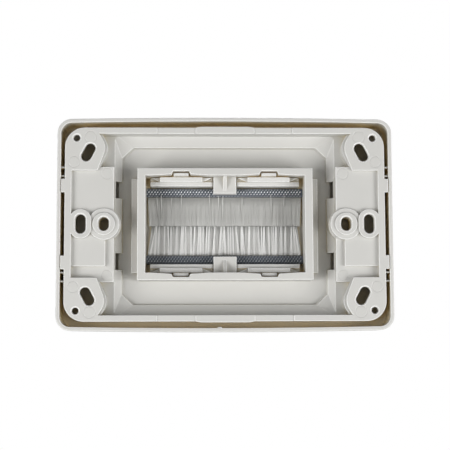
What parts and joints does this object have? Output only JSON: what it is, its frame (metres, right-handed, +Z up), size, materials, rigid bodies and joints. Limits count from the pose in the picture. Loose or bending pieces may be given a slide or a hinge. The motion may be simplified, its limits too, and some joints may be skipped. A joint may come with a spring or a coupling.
{
  "type": "brush wall plate",
  "caption": "Upright wall plate with a clip-on cover and a central cable window closed by facing banks of bristles.",
  "frame": {"origin": "middle of the rear plane that meets the wall, midway between the fixing screws", "axes": "+X along the plate, +Y into the wall, +Z up; the cover faces -Y"},
  "size_m": [0.1164, 0.0126, 0.0746],
  "materials": {
    "cover_plastic": "satin moulded plastic, off-white",
    "grid_plastic": "fine matt moulded plastic, off-white",
    "insert_plastic": "fine matt moulded plastic, off-white",
    "brush_binding": "stitched woven binding, blue-grey",
    "bristle_nylon": "fine nylon filaments, milky clear"
  },
  "bodies": {
    "root": {"cover_plate": "cover_plastic", "mounting_plate": "grid_plastic", "brush_insert": "insert_plastic", "upper_brush_head": "brush_binding", "lower_brush_head": "brush_binding", "upper_bristles": "bristle_nylon", "lower_bristles": "bristle_nylon"}
  },
  "joints": []
}
